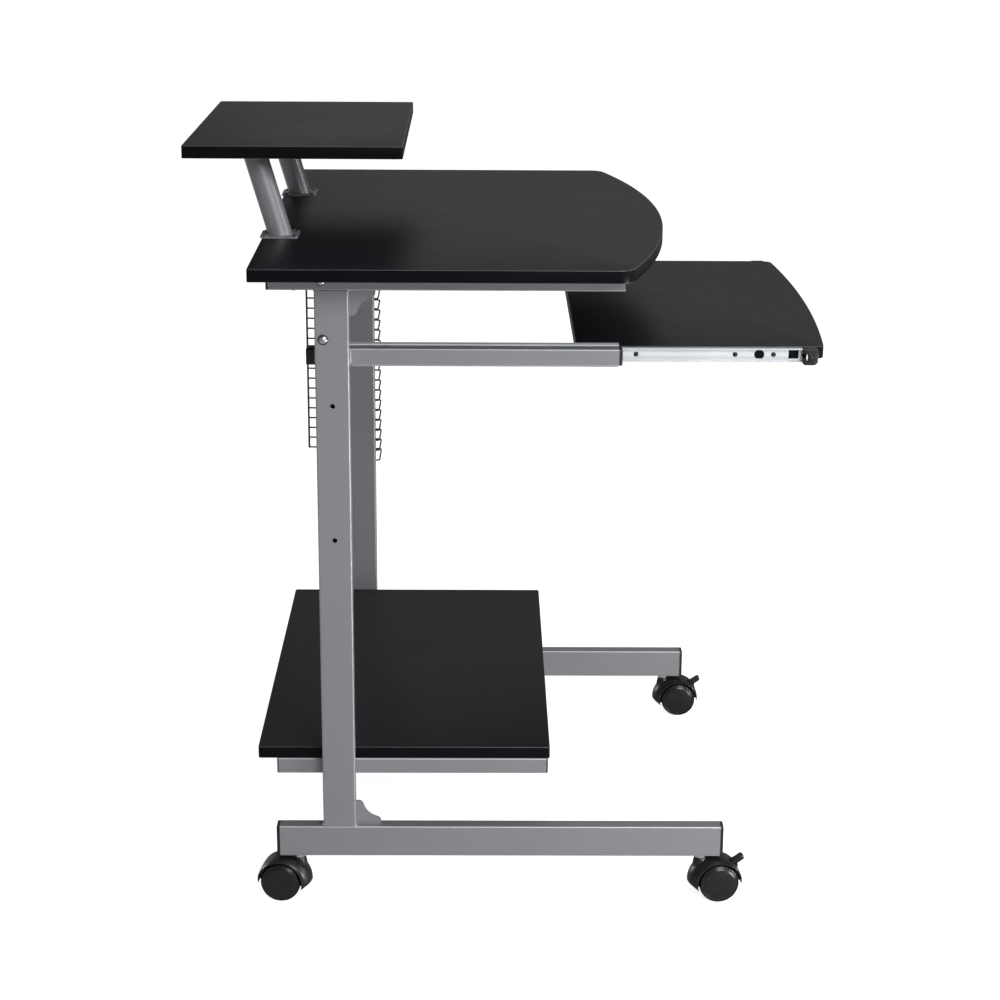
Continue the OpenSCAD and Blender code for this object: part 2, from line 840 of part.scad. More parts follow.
// Slot and pivot bore that a brake lever needs
module lever_cuts() {
    slot_half = lever_half + stem_gap;
    slot_back = -6;
    slot_reach = 60;
    at_lever() {
        x_cylinder(lever_hub_r + stem_gap, -slot_half, slot_half);
        x_cylinder(lever_pin_r + bolt_gap, -2 * hood_half, 2 * hood_half);
        translate([-slot_half, 0, 0]) rotate([90, 0, 90]) linear_extrude(height = 2 * slot_half)
            polygon([[slot_back, -5], [slot_reach, -6], [slot_reach, 54], [slot_back, 6.5]]);
    }
}

module hood(side, y, yaw, braked) {
    color(black_plastic) placed() caster_at(side, y, yaw) difference() {
        hood_solid();
        hood_cuts();
        if (braked) lever_cuts();
    }
}

module axle(side, y, yaw) {
    color(bright_steel) placed() caster_at(side, y, yaw) at_axle()
        x_cylinder(axle_r, -axle_half, axle_half);
}

// Half section of a wheel: x is the radius, y runs outwards along the axle
module wheel_section() {
    tread_r = 1.8;
    rim_r = 21;
    groove_w = 1.2;
    groove_d = 0.9;
    difference() {
        union() {
            translate([0, wheel_in]) square([wheel_r - tread_r, wheel_out - wheel_in - 0.6]);
            translate([0, wheel_in + tread_r])
                square([wheel_r, wheel_out - wheel_in - 2 * tread_r - 0.6]);
            translate([wheel_r - tread_r, wheel_in + tread_r]) circle(r = tread_r);
            translate([wheel_r - tread_r, wheel_out - tread_r - 0.6]) circle(r = tread_r);
            translate([0, wheel_in]) square([rim_r, wheel_out - wheel_in]);
        }
        translate([rim_r, wheel_out - groove_d]) square([groove_w, 2]);
        translate([-1, 0]) square([axle_r + wheel_play + 1, axle_half + 0.3]);
        translate([axle_r + 5, 0]) square([wheel_r - axle_r - 9, wheel_in + 4]);
    }
}

module wheel(side, y, yaw, outward) {
    color(black_plastic) placed() caster_at(side, y, yaw) at_axle()
        rotate([0, outward * 90, 0]) rotate_extrude() intersection() {
            wheel_section();
            square([2 * wheel_r, 2 * wheel_r]);
        }
}

module brake_lever(side, y, yaw) {
    color(black_plastic) placed() caster_at(side, y, yaw) at_lever() {
        x_cylinder(lever_hub_r, -lever_half, lever_half);
        x_cylinder(lever_pin_r, -lever_pin_half, lever_pin_half);
        rotate([lever_angle, 0, 0]) translate([-lever_half, 0, lever_lift]) {
            translate([0, 0, -lever_t / 2]) cube([2 * lever_half, lever_l, lever_t]);
            translate([0, lever_l, 0]) rotate([0, 90, 0])
                cylinder(r = lever_t / 2, h = 2 * lever_half);
        }
    }
}

module caster_stems() {
    stem_top = foot_z + 18;
    stem_low = stem_hole_z + stem_gap;
    flange_low = boss_top_z + stem_gap;
    color(bright_steel) placed()
        for (side = ["left", "right"], y = [front_caster_y, rear_caster_y])
            caster_at(side, y, 0) {
                translate([0, 0, stem_low]) cylinder(r = stem_r, h = stem_top - stem_low);
                translate([0, 0, flange_low]) cylinder(r = stem_flange_r, h = foot_z - flange_low);
            }
}

module rear_left_hood() hood("left", rear_caster_y, rear_left_yaw, false);
module rear_left_axle() axle("left", rear_caster_y, rear_left_yaw);
module rear_left_outer_wheel() wheel("left", rear_caster_y, rear_left_yaw, -1);
module rear_left_inner_wheel() wheel("left", rear_caster_y, rear_left_yaw, 1);
module rear_right_hood() hood("right", rear_caster_y, rear_right_yaw, false);
module rear_right_axle() axle("right", rear_caster_y, rear_right_yaw);
module rear_right_outer_wheel() wheel("right", rear_caster_y, rear_right_yaw, 1);
module rear_right_inner_wheel() wheel("right", rear_caster_y, rear_right_yaw, -1);
module front_left_hood() hood("left", front_caster_y, front_left_yaw, true);
module front_left_axle() axle("left", front_caster_y, front_left_yaw);
module front_left_outer_wheel() wheel("left", front_caster_y, front_left_yaw, 1);
module front_left_inner_wheel() wheel("left", front_caster_y, front_left_yaw, -1);
module front_right_hood() hood("right", front_caster_y, front_right_yaw, true);
module front_right_axle() axle("right", front_caster_y, front_right_yaw);
module front_right_outer_wheel() wheel("right", front_caster_y, front_right_yaw, -1);
module front_right_inner_wheel() wheel("right", front_caster_y, front_right_yaw, 1);
module front_left_brake_lever() brake_lever("left", front_caster_y, front_left_yaw);
module front_right_brake_lever() brake_lever("right", front_caster_y, front_right_yaw);

// ---- Drawing ----

desktop();
monitor_shelf();
lower_shelf();
keyboard_tray();
left_foot();
right_foot();
left_column();
right_column();
left_top_rail();
right_top_rail();
left_shelf_rail();
right_shelf_rail();
left_slide_tube();
right_slide_tube();
upper_gussets();
lower_gussets();
rear_crossbar();
frame_bolts();
foot_end_caps();
rail_end_plugs();
slide_tube_plugs();
left_post();
right_post();
post_base_plates();
post_top_plates();
post_screws();
board_screws();
left_slide_channel();
right_slide_channel();
left_slide_member();
right_slide_member();
left_ball_cage();
right_ball_cage();
slide_guides();
tray_end_stops();
tray_screws();
rack_front_bends();
rack_outer_wires();
rack_inner_wires();
rack_uprights();
rack_screws();
caster_stems();
rear_left_hood();
rear_left_axle();
rear_left_outer_wheel();
rear_left_inner_wheel();
rear_right_hood();
rear_right_axle();
rear_right_outer_wheel();
rear_right_inner_wheel();
front_left_hood();
front_left_axle();
front_left_outer_wheel();
front_left_inner_wheel();
front_right_hood();
front_right_axle();
front_right_outer_wheel();
front_right_inner_wheel();
front_left_brake_lever();
front_right_brake_lever();
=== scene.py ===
import json
import math

import bmesh
import bpy
import numpy as np
from mathutils import Matrix, Vector


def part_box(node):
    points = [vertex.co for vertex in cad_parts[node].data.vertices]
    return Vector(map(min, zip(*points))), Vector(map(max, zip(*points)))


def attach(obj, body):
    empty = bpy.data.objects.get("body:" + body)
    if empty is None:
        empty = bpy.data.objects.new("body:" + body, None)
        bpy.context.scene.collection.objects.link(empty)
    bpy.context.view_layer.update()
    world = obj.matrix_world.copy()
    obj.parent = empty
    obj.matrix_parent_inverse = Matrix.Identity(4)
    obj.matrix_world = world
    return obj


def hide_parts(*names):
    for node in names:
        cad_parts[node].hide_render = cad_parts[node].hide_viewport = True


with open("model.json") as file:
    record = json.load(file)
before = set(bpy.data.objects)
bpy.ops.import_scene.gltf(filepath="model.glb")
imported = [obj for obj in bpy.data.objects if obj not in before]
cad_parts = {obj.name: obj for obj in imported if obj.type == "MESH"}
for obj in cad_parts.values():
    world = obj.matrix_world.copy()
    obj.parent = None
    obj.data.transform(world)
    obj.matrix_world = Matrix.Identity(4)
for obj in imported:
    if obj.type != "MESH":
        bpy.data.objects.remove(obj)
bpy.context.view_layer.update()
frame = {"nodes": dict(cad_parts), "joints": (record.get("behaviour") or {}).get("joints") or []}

# ---- Boards: desktop, monitor shelf, lower shelf and keyboard tray ----
# Particle board 15 mm thick, faced with charcoal melamine and closed with a glued black edge band.
# The band is trimmed flush, which leaves a fine rounded arris along the top and bottom edges.


def join_rings(rings):
    """Faces of a tube of quads: ring i meets ring i + 1 point by point, each end is one flat face."""
    count, size = rings.shape[:2]
    first = np.arange(count - 1)[:, None] * size + np.arange(size)[None, :]
    following = np.arange(count - 1)[:, None] * size + (np.arange(size)[None, :] + 1) % size
    quads = np.stack([first, following, following + size, first + size], -1).reshape(-1, 4)
    faces = quads.tolist()
    faces.append(list(range(size))[::-1])
    faces.append(list(range((count - 1) * size, count * size)))
    return rings.reshape(-1, 3), faces


def make_piece(name, shells, materials, face_materials=None, crease_deg=35.0):
    """One mesh object from a list of (points, faces) shells; shading turns sharp past crease_deg."""
    points, faces, start = [], [], 0
    for shell_points, shell_faces in shells:
        points.append(shell_points)
        faces.extend([[index + start for index in face] for face in shell_faces])
        start += len(shell_points)
    mesh = bpy.data.meshes.new(name)
    mesh.from_pydata(np.concatenate(points).tolist(), [], faces)
    for material in materials:
        mesh.materials.append(material)
    if face_materials is not None:
        mesh.polygons.foreach_set("material_index", np.asarray(face_materials, np.int32))
    mesh.shade_smooth()
    mesh.set_sharp_from_angle(angle=math.radians(crease_deg))
    mesh.update()
    piece = bpy.data.objects.new(name, mesh)
    bpy.context.scene.collection.objects.link(piece)
    return piece


def outward(piece):
    """Points every face of closed shells outwards."""
    work = bmesh.new()
    work.from_mesh(piece.data)
    bmesh.ops.recalc_face_normals(work, faces=work.faces)
    work.to_mesh(piece.data)
    work.free()
    return piece


def speckle_group():
    """Fine and coarse noise on Object coordinates: Factor mixes both, Height is the fine one."""
    group = bpy.data.node_groups.new("fine_speckle", "ShaderNodeTree")
    face = group.interface
    for name, way, kind in (("Fine Scale", "INPUT", "Float"), ("Coarse Scale", "INPUT", "Float"),
                            ("Coarse Share", "INPUT", "Float"), ("Stretch", "INPUT", "Vector"),
                            ("Factor", "OUTPUT", "Float"), ("Height", "OUTPUT", "Float")):
        face.new_socket(name, in_out=way, socket_type="NodeSocket" + kind)
    nodes, links = group.nodes, group.links
    given, result = nodes.new("NodeGroupInput"), nodes.new("NodeGroupOutput")
    place = nodes.new("ShaderNodeTexCoord")
    fine, coarse = nodes.new("ShaderNodeTexNoise"), nodes.new("ShaderNodeTexNoise")
    fine.inputs["Detail"].default_value = 3.0
    coarse.inputs["Detail"].default_value = 4.0
    blend = nodes.new("ShaderNodeMix")
    stretched = nodes.new("ShaderNodeVectorMath")
    stretched.operation = "MULTIPLY"
    links.new(place.outputs["Object"], stretched.inputs[0])
    links.new(given.outputs["Stretch"], stretched.inputs[1])
    for noise, scale in ((fine, "Fine Scale"), (coarse, "Coarse Scale")):
        links.new(stretched.outputs["Vector"], noise.inputs["Vector"])
        links.new(given.outputs[scale], noise.inputs["Scale"])
    links.new(given.outputs["Coarse Share"], blend.inputs["Factor"])
    links.new(fine.outputs["Fac"], blend.inputs["A"])
    links.new(coarse.outputs["Fac"], blend.inputs["B"])
    links.new(blend.outputs["Result"], result.inputs["Factor"])
    links.new(fine.outputs["Fac"], result.inputs["Height"])
    return group


speckle = speckle_group()


def finish_material(name, dark, light, rough, metallic=0.0, fine=900.0, coarse=18.0, share=0.4,
                    bump=0.1, grain_m=0.0003, coat=0.0, specular=0.5, stretch=(1.0, 1.0, 1.0)):
    """Principled finish: speckle drives colour from dark to light, roughness, and a bump."""
    material = bpy.data.materials.new(name)
    material.use_nodes = True
    nodes, links = material.node_tree.nodes, material.node_tree.links
    shader = nodes["Principled BSDF"]
    shader.inputs["Metallic"].default_value = metallic
    shader.inputs["Coat Weight"].default_value = coat
    shader.inputs["Coat Roughness"].default_value = 0.12
    shader.inputs["Specular IOR Level"].default_value = specular
    spots = nodes.new("ShaderNodeGroup")
    spots.node_tree = speckle
    spots.inputs["Fine Scale"].default_value = fine
    spots.inputs["Coarse Scale"].default_value = coarse
    spots.inputs["Coarse Share"].default_value = share
    spots.inputs["Stretch"].default_value = stretch
    tint = nodes.new("ShaderNodeValToRGB")
    tint.color_ramp.elements[0].position = 0.32
    tint.color_ramp.elements[0].color = (*dark, 1.0)
    tint.color_ramp.elements[1].position = 0.68
    tint.color_ramp.elements[1].color = (*light, 1.0)
    sheen = nodes.new("ShaderNodeMapRange")
    sheen.inputs["From Min"].default_value = 0.3
    sheen.inputs["From Max"].default_value = 0.7
    sheen.inputs["To Min"].default_value = rough[0]
    sheen.inputs["To Max"].default_value = rough[1]
    relief = nodes.new("ShaderNodeBump")
    relief.inputs["Strength"].default_value = bump
    relief.inputs["Distance"].default_value = grain_m
    links.new(spots.outputs["Factor"], tint.inputs["Fac"])
    links.new(tint.outputs["Color"], shader.inputs["Base Color"])
    links.new(spots.outputs["Factor"], sheen.inputs["Value"])
    links.new(sheen.outputs["Result"], shader.inputs["Roughness"])
    links.new(spots.outputs["Height"], relief.inputs["Height"])
    links.new(relief.outputs["Normal"], shader.inputs["Normal"])
    return material


laminate = finish_material("charcoal_laminate", (0.0048, 0.0056, 0.0076), (0.0082, 0.0092, 0.0116),
                           (0.36, 0.45), fine=620.0, coarse=60.0, share=0.3, bump=0.10, specular=0.20,
                           stretch=(1.0, 0.05, 1.0))
edge_band = finish_material("black_edge_band", (0.0022, 0.0025, 0.0036), (0.0036, 0.0040, 0.0054),
                            (0.30, 0.46), fine=700.0, coarse=90.0, bump=0.10, specular=0.10,
                            stretch=(0.1, 0.05, 1.0))

# The arrises are coloured lighter than the band: a painted highlight along the boards' edges.
arris_painted_highlight = finish_material("painted_highlight_arris", (0.060, 0.062, 0.068), (0.085, 0.088, 0.095),
                              (0.24, 0.34), fine=700.0, coarse=25.0, bump=0.08, specular=0.60)

arris_m, arris_steps = 0.0006, 4


def corner_arc(centre, radius, start, end, steps):
    """Points centre + radius * (cos, sin) for angles evenly spaced from start to end, in degrees."""
    angle = np.radians(np.linspace(start, end, steps))
    return np.stack([centre[0] + radius * np.cos(angle), centre[1] + radius * np.sin(angle)], 1)


def bowed_outline(low, high, bow_r, front_corner_r, rear_corner_r=0.003):
    """Board outline, anticlockwise: small rear corners, round front corners and one arc between them."""
    middle_x, half = (low[0] + high[0]) / 2, (high[0] - low[0]) / 2
    bow_y = low[1] + bow_r
    fillet_x = half - front_corner_r
    fillet_y = bow_y - math.sqrt((bow_r - front_corner_r) ** 2 - fillet_x ** 2)
    turn = math.degrees(math.atan2(fillet_y - bow_y, -fillet_x))
    rear_y, rear_x = high[1] - rear_corner_r, half - rear_corner_r
    return np.concatenate([
        corner_arc((middle_x + rear_x, rear_y), rear_corner_r, 0, 90, 6),
        corner_arc((middle_x - rear_x, rear_y), rear_corner_r, 90, 180, 6),
        corner_arc((middle_x - fillet_x, fillet_y), front_corner_r, -180, turn, 20)[:-1],
        corner_arc((middle_x, bow_y), bow_r, turn, -180 - turn, 96),
        corner_arc((middle_x + fillet_x, fillet_y), front_corner_r, -180 - turn, 0, 20)[1:],
    ])


def square_outline(low, high, corner_r):
    """Rectangle from low to high with four round corners, anticlockwise."""
    x0, y0, x1, y1 = low[0] + corner_r, low[1] + corner_r, high[0] - corner_r, high[1] - corner_r
    return np.concatenate([
        corner_arc((x1, y1), corner_r, 0, 90, 7), corner_arc((x0, y1), corner_r, 90, 180, 7),
        corner_arc((x0, y0), corner_r, 180, 270, 7), corner_arc((x1, y0), corner_r, 270, 360, 7),
    ])


def inset(outline, distance):
    """Moves each point of an anticlockwise outline inwards, across the chord of its neighbours."""
    chord = np.roll(outline, -1, 0) - np.roll(outline, 1, 0)
    inward = np.stack([-chord[:, 1], chord[:, 0]], 1) / np.linalg.norm(chord, axis=1, keepdims=True)
    return outline + inward * distance


def slab(outline, low_z, high_z, arris):
    """Solid of an outline between two heights, its edges rounded by a quarter circle of radius arris."""
    turn = np.radians(np.linspace(0, 90, arris_steps))
    insets = arris * (1 - np.cos(turn[::-1]))
    rises = arris * (1 - np.sin(turn[::-1]))
    rings = [np.c_[inset(outline, d), np.full(len(outline), low_z + h)] for d, h in zip(insets, rises)]
    rings += [np.c_[inset(outline, d), np.full(len(outline), high_z - h)]
              for d, h in zip(insets[::-1], rises[::-1])]
    return join_rings(np.array(rings))


def board(node, outline, body):
    """A faced board for its CAD node: laminate faces, a rim of edge band and two arrises lightened as
    painted highlight.
    """
    low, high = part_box(node)
    points, faces = slab(outline, low[2], high[2], arris_m)
    slots = np.full(len(faces), 2, np.int32)
    rim = (arris_steps - 1) * len(outline)
    slots[rim:rim + len(outline)] = 1
    slots[-2:] = 0
    piece = make_piece(node + "_board", [(points, faces)], [laminate, edge_band, arris_painted_highlight], slots)
    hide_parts(node)
    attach(piece, body)


desk_bow_r, desk_corner_r = 1.180, 0.020
tray_bow_r, tray_corner_r = 2.930, 0.012
shelf_corner_r = 0.003
board("desktop", bowed_outline(*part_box("desktop"), desk_bow_r, desk_corner_r), "desk")
board("keyboard_tray", bowed_outline(*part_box("keyboard_tray"), tray_bow_r, tray_corner_r), "tray")
board("monitor_shelf", square_outline(*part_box("monitor_shelf"), shelf_corner_r), "desk")
board("lower_shelf", square_outline(*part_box("lower_shelf"), shelf_corner_r), "desk")

# ---- Side frames: feet, columns, rails, slide tubes, crossbar and gussets ----
# Drawn steel tube, welded, ground where it shows and coated in silver-grey powder with a fine flake.
# The solids are used as they are; only their coat is made here.


def silver_coat(name):
    """Silver-grey powder coat: a fine flake of 1 / 1900 m over a slow change of tone."""
    return finish_material(name, (0.285, 0.287, 0.305), (0.320, 0.322, 0.342), (0.36, 0.46),
                           metallic=0.45, fine=1900.0, coarse=6.0, share=0.3, bump=0.18,
                           grain_m=0.00015)


def paint_edge_highlight(material, highlight_colour):
    """Paints a highlight into a coat where its surface turns: the share grows as the normal's largest part
    falls.
    """
    nodes, links = material.node_tree.nodes, material.node_tree.links
    shader = nodes["Principled BSDF"]
    surface, parts = nodes.new("ShaderNodeNewGeometry"), nodes.new("ShaderNodeSeparateXYZ")
    links.new(surface.outputs["True Normal"], parts.inputs["Vector"])
    largest = None
    for axis in "XYZ":
        size = nodes.new("ShaderNodeMath")
        size.operation = "ABSOLUTE"
        links.new(parts.outputs[axis], size.inputs[0])
        if largest is None:
            largest = size
            continue
        pick = nodes.new("ShaderNodeMath")
        pick.operation = "MAXIMUM"
        links.new(largest.outputs[0], pick.inputs[0])
        links.new(size.outputs[0], pick.inputs[1])
        largest = pick
    share = nodes.new("ShaderNodeMapRange")
    share.inputs["From Min"].default_value = 0.97
    share.inputs["From Max"].default_value = 0.80
    links.new(largest.outputs[0], share.inputs["Value"])
    highlight_mix = nodes.new("ShaderNodeMix")
    highlight_mix.data_type = "RGBA"
    highlight_mix.inputs["B"].default_value = (*highlight_colour, 1.0)
    tint = shader.inputs["Base Color"].links[0].from_socket
    links.new(share.outputs["Result"], highlight_mix.inputs["Factor"])
    links.new(tint, highlight_mix.inputs["A"])
    links.new(highlight_mix.outputs["Result"], shader.inputs["Base Color"])


# The tube and column coats paint a highlight onto rounded edges: bright on feet, rails, slide tubes and
# crossbar, dimmer on the columns.
powder_coat = silver_coat("silver_powder_coat")
tube_coat_painted_highlight = silver_coat("silver_coat_tube_painted_highlight")
paint_edge_highlight(tube_coat_painted_highlight, (0.62, 0.63, 0.65))
column_coat_painted_highlight = silver_coat("silver_coat_column_painted_highlight")
paint_edge_highlight(column_coat_painted_highlight, (0.42, 0.425, 0.44))
for node in ("left_column", "right_column"):
    frame["nodes"][node].data.materials[0] = column_coat_painted_highlight
for node in ("left_foot", "right_foot", "left_top_rail", "right_top_rail", "left_shelf_rail",
             "right_shelf_rail", "left_slide_tube", "right_slide_tube", "rear_crossbar"):
    frame["nodes"][node].data.materials[0] = tube_coat_painted_highlight
for node in ("upper_gussets", "lower_gussets", "left_post", "right_post", "post_base_plates",
             "post_top_plates"):
    frame["nodes"][node].data.materials[0] = powder_coat

# ---- Weld beads ----
# MIG beads where tube meets tube and round the gussets, laid by hand and coated with the frame.
# Each is a rippled bead along a short path.

bead_r = 0.0016
bead_sides = 8
ripple_m = 0.0022
ripple_share = 0.16
weld_inset = 0.0025
spot_weld_shift, spot_weld_half = 0.006, 0.0035
rail_weld_inset = 0.002


def bead(path):
    """A tube round a path of straight runs: its radius follows a sine of the length along it."""
    path = np.asarray(path, float)
    runs = np.linalg.norm(np.diff(path, axis=0), axis=1)
    along = np.r_[0.0, np.cumsum(runs)]
    steps = max(8, int(along[-1] / (ripple_m / 4)))
    spot = np.linspace(0, along[-1], steps)
    line = np.stack([np.interp(spot, along, path[:, k]) for k in range(3)], 1)
    heading = np.gradient(line, axis=0)
    heading /= np.linalg.norm(heading, axis=1, keepdims=True)
    helper = np.array([0.31, 0.52, 0.79])
    side = np.cross(heading, helper)
    side /= np.linalg.norm(side, axis=1, keepdims=True)
    up = np.cross(heading, side)
    ends = np.clip(np.minimum(spot, along[-1] - spot) / bead_r, 0.15, 1) ** 0.5
    size = bead_r * ends * (1 + ripple_share * np.sin(2 * np.pi * spot / ripple_m))
    turn = np.linspace(0, 2 * np.pi, bead_sides, endpoint=False)
    ring = side[:, None] * np.cos(turn)[None, :, None] + up[:, None] * np.sin(turn)[None, :, None]
    return join_rings(line[:, None] + ring * size[:, None, None])


def frame_welds(side):
    """Beads of one side frame: behind and before the column at both ends, and beside its slide tube."""
    shells = []
    column_low, column_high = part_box(side + "_column")
    rail_low, rail_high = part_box(side + "_slide_tube")
    inner_x = column_high[0] if side == "left" else column_low[0]
    middle_x = (column_low[0] + column_high[0]) / 2
    front_y, rear_y = column_low[1], column_high[1]
    for z in (column_low[2], column_high[2]):
        shells.append(bead([[column_low[0] + weld_inset, rear_y, z],
                            [column_high[0] - weld_inset, rear_y, z]]))
        for spot_x in (middle_x - spot_weld_shift, middle_x + spot_weld_shift):
            shells.append(bead([[spot_x - spot_weld_half, front_y, z],
                                [spot_x + spot_weld_half, front_y, z]]))
    for y in (front_y, rear_y):
        shells.append(bead([[inner_x, y, rail_low[2] + rail_weld_inset],
                            [inner_x, y, rail_high[2] - rail_weld_inset]]))
    return shells


# The beads' coat is lighter and glossier than the frame's: a painted highlight along the beads.
weld_coat_painted_highlight = finish_material("silver_coat_on_weld_painted_highlight", (0.40, 0.40, 0.42), (0.62, 0.62, 0.64), (0.22, 0.34),
                            metallic=0.5, fine=1500.0, coarse=240.0, share=0.6, bump=0.5)
for side in ("left", "right"):
    welds = outward(make_piece(side + "_frame_welds", frame_welds(side), [weld_coat_painted_highlight]))
    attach(welds, "desk")

# ---- Column holes' rims, a painted highlight ----
# A thin bright steel ring round each of the two holes of the open column paints the highlight on its lip.
# Each ring stands a little proud of the coat.

bright_steel = finish_material("bright_nickel", (0.60, 0.60, 0.60), (0.70, 0.70, 0.70), (0.18, 0.30),
                               metallic=1.0, fine=600.0, coarse=40.0, bump=0.05)
hole_heights = (0.4743, 0.6395)
hole_r, lip_w, lip_t = 0.003, 0.0005, 0.0002


def ring_band(centre, axis_x, inner_r, outer_r, thick, count=32):
    """A flat ring facing along X: a six-sided profile of radius and offset, turned round its axis."""
    turn = np.linspace(0, 2 * np.pi, count, endpoint=False)
    middle = (inner_r + outer_r) / 2
    radius = np.array([inner_r, inner_r, middle, outer_r, outer_r, middle])
    offset = np.array([-0.5, 0.6, 1.0, 0.6, -0.5, -0.8]) * thick * axis_x
    ring = np.stack([
        centre[0] + np.broadcast_to(offset[None, :], (count, 6)),
        centre[1] + np.cos(turn)[:, None] * radius[None, :],
        centre[2] + np.sin(turn)[:, None] * radius[None, :],
    ], -1)
    first = np.arange(count)[:, None] * 6 + np.arange(6)[None, :]
    beside = np.arange(count)[:, None] * 6 + (np.arange(6)[None, :] + 1) % 6
    after = (np.arange(count)[:, None] + 1) % count * 6 + np.arange(6)[None, :]
    across = (np.arange(count)[:, None] + 1) % count * 6 + (np.arange(6)[None, :] + 1) % 6
    quads = np.stack([first, after, across, beside], -1).reshape(-1, 4)
    return ring.reshape(-1, 3), quads.tolist()


left_low, left_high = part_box("left_column")
hole_y = (left_low[1] + left_high[1]) / 2
hole_rim_highlights = outward(make_piece("column_hole_rim_highlights", [
    ring_band((left_low[0], hole_y, z), -1.0, hole_r, hole_r + lip_w, lip_t) for z in hole_heights
], [bright_steel]))
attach(hole_rim_highlights, "desk")

# ---- Black plugs of the tubes ----
# Moulded polyethylene plugs pushed into the open tube ends, with slightly crowned heads.
# The insert is hidden in the tube; the head has the tube's outline and a rounded rim.

black_plastic = finish_material("black_moulding", (0.0050, 0.0050, 0.0053), (0.0088, 0.0088, 0.0092),
                                (0.28, 0.40), fine=1100.0, coarse=30.0, bump=0.12)
tube_wall, insert_play, insert_l = 0.0015, 0.0002, 0.004
plug_corner_r = 0.0022


def plug(low, high, faces_front, head):
    """A plug along Y: a narrow insert and a head of the tube's outline, its rim round, its face crowned."""
    middle_x, middle_z = (low[0] + high[0]) / 2, (low[2] + high[2]) / 2
    half_x, half_z = (high[0] - low[0]) / 2, (high[2] - low[2]) / 2
    outline = square_outline((-half_x, -half_z), (half_x, half_z), plug_corner_r)
    insert_inset = tube_wall + insert_play
    rings = [(insert_inset, -insert_l), (insert_inset, 0.0), (0.0, 0.0),
             (0.0, head - 0.0011), (0.0003, head - 0.0005), (0.0009, head - 0.00015),
             (0.0018, head), (0.0034, head + 0.0001)]
    seat_y = high[1] if faces_front else low[1]
    way = -1.0 if faces_front else 1.0
    ring_points = []
    for distance, depth in rings:
        shape = inset(outline, distance)
        ring_points.append(np.c_[middle_x + shape[:, 0], np.full(len(shape), seat_y + way * depth),
                                 middle_z + shape[:, 1]])
    points, faces = join_rings(np.array(ring_points))
    if not faces_front:
        faces = [face[::-1] for face in faces]
    return points, faces


def plugs_for(piece_name, node, heads):
    """All plugs of one CAD node: heads gives each tube the thickness of its front and rear heads."""
    shells = []
    for tube, (front_head, rear_head) in heads.items():
        low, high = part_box(tube)
        shells.append(plug((low[0], low[1], low[2]), (high[0], low[1], high[2]), True, front_head))
        shells.append(plug((low[0], high[1], low[2]), (high[0], high[1], high[2]), False, rear_head))
    piece = outward(make_piece(piece_name, shells, [black_plastic]))
    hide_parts(node)
    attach(piece, "desk")


foot_head, top_rail_heads, shelf_rail_head = 0.0039, (0.0007, 0.0029), 0.0019
slide_tube_heads = (0.0039, 0.0119)
plugs_for("foot_cap_mouldings", "foot_end_caps",
          {side + "_foot": (foot_head, foot_head) for side in ("left", "right")})
plugs_for("rail_plug_mouldings", "rail_end_plugs", {
    "left_top_rail": top_rail_heads, "right_top_rail": top_rail_heads,
    "left_shelf_rail": (shelf_rail_head, shelf_rail_head),
    "right_shelf_rail": (shelf_rail_head, shelf_rail_head),
})
plugs_for("slide_tube_plug_mouldings", "slide_tube_plugs",
          {side + "_slide_tube": slide_tube_heads for side in ("left", "right")})

# ---- Screws and bolts ----
# Black oxide screws hold the tray and the rack; those of the boards and posts are nickel plated.
# Each frame bolt has a dark ring of painted shade round its head on the column's outer face.

dark_steel = finish_material("black_oxide_steel", (0.014, 0.014, 0.016), (0.026, 0.026, 0.029),
                             (0.34, 0.46), metallic=0.5, fine=900.0, coarse=50.0, bump=0.08)
for node in ("tray_screws", "rack_screws"):
    frame["nodes"][node].data.materials[0] = dark_steel
for node in ("post_screws", "caster_stems", "board_screws", "frame_bolts"):
    frame["nodes"][node].data.materials[0] = bright_steel

# y and z of each bolt, then the shade ring's inner and outer radius and its thickness
crossbar_bolt, crossbar_shade_ring = (0.2160, 0.7193), (0.0049, 0.0060, 0.0012)
rail_bolt, rail_shade_ring = (0.2175, 0.7875), (0.0037, 0.0047, 0.0010)
rings = []
for outer_x, way in ((left_low[0], -1.0), (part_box("right_column")[1][0], 1.0)):
    for bolt, shade_ring in ((crossbar_bolt, crossbar_shade_ring), (rail_bolt, rail_shade_ring)):
        rings.append(ring_band((outer_x, *bolt), way, *shade_ring))
shade_rings = outward(make_piece("bolt_shade_rings", rings, [dark_steel]))
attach(shade_rings, "desk")

# ---- Tray slides ----
# Rolled steel channel, member and ball cage, zinc plated; the balls are hardened steel.
# A black moulding stands in the channel's mouth.

zinc = finish_material("bright_zinc", (0.70, 0.73, 0.75), (0.78, 0.81, 0.83), (0.26, 0.36),
                       metallic=0.25, fine=500.0, coarse=14.0, share=0.6, bump=0.02)
for node in ("left_slide_channel", "right_slide_channel", "left_slide_member",
             "right_slide_member", "left_ball_cage", "right_ball_cage"):
    frame["nodes"][node].data.materials[0] = zinc
frame["nodes"]["slide_guides"].data.materials[0] = black_plastic


def stop_outline():
    """Side view of an end stop in y and z: round below, tight corners above and a round bite behind."""
    half_y, half_z = 0.0090, 0.00975
    front_r, rear_r, top_r = 0.0052, 0.0035, 0.0018
    bite_r, bite_z = 0.0022, 0.0016
    return np.concatenate([
        corner_arc((half_y - top_r, half_z - top_r), top_r, 0, 90, 8),
        corner_arc((-half_y + top_r, half_z - top_r), top_r, 90, 180, 8),
        corner_arc((-half_y + front_r, -half_z + front_r), front_r, 180, 270, 12),
        corner_arc((half_y - rear_r, -half_z + rear_r), rear_r, 270, 360, 10),
        corner_arc((half_y, bite_z), bite_r, 270, 90, 12),
    ])


stop_rim_r, stop_depth = 0.0009, 0.0104
crescent_shift, crescent_half, crescent_bulge = 0.0042, 0.0042, 0.0016


